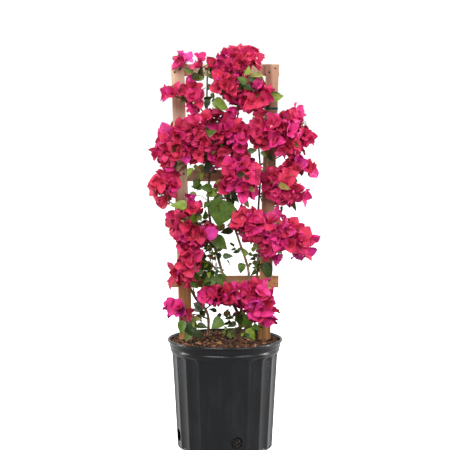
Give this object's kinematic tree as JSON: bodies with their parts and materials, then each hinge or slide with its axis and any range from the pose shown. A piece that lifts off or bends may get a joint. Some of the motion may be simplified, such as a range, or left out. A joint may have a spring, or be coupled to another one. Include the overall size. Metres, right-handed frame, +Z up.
{
  "type": "bougainvillea bush",
  "caption": "Climbing bougainvillea in full magenta bloom, trained up a low wooden trellis that stands in a black ribbed nursery pot filled with bark mulch.",
  "frame": {"origin": "centre of the pot's flat underside", "axes": "+Z up, -Y towards the front of the trellis where the bloom shows best, +X to the right seen from the front"},
  "size_m": [0.4041, 0.254, 0.8944],
  "materials": {
    "pot_plastic": "black moulded plastic with a soft sheen",
    "bark_mulch": "potting mix topped with shredded bark",
    "trellis_wood": "sawn softwood slats, weathered towards the top",
    "bark": "thin grey brown bark",
    "blossom": "papery magenta bracts",
    "leaves": "satin green leaves"
  },
  "bodies": {
    "root": {"pot": "pot_plastic", "root_ball": "bark_mulch", "post_left": "trellis_wood", "post_right": "trellis_wood", "rail_top": "trellis_wood", "rail_middle": "trellis_wood", "rail_low": "trellis_wood", "trunk": "bark", "leader_left": "bark", "leader_middle": "bark", "stem_left": "bark", "stem_right": "bark", "bough_left_high": "bark", "bough_left_main": "bark", "bough_right_main": "bark", "bough_right_tip": "bark", "bough_right_small": "bark", "bough_right_arm": "bark", "bough_left_arm": "bark", "bough_left_flank": "bark", "bough_right_flank": "bark", "bough_left_low": "bark", "bough_base_left": "bark", "crest": "blossom", "rear_crest": "blossom", "crest_low": "blossom", "left_tip": "blossom", "rail_sprig": "blossom", "left_high": "blossom", "right_high": "blossom", "rear_right_high": "blossom", "left_main": "blossom", "rear_left_main": "blossom", "left_inner": "blossom", "centre_high": "blossom", "right_main": "blossom", "rear_right_main": "blossom", "right_tip": "blossom", "right_small": "blossom", "centre": "blossom", "rear_centre": "blossom", "right_arm": "blossom", "rear_right_arm": "blossom", "left_arm": "blossom", "rear_left_arm": "blossom", "big_leaves": "leaves", "left_flank": "blossom", "rear_left_flank": "blossom", "centre_low": "blossom", "right_flank": "blossom", "rear_right_flank": "blossom", "left_low": "blossom", "green_middle": "leaves", "base_middle": "blossom", "rear_base_middle": "blossom", "base_right": "blossom", "rear_base_right": "blossom", "base_left": "blossom", "base_green": "leaves"}
  },
  "joints": []
}
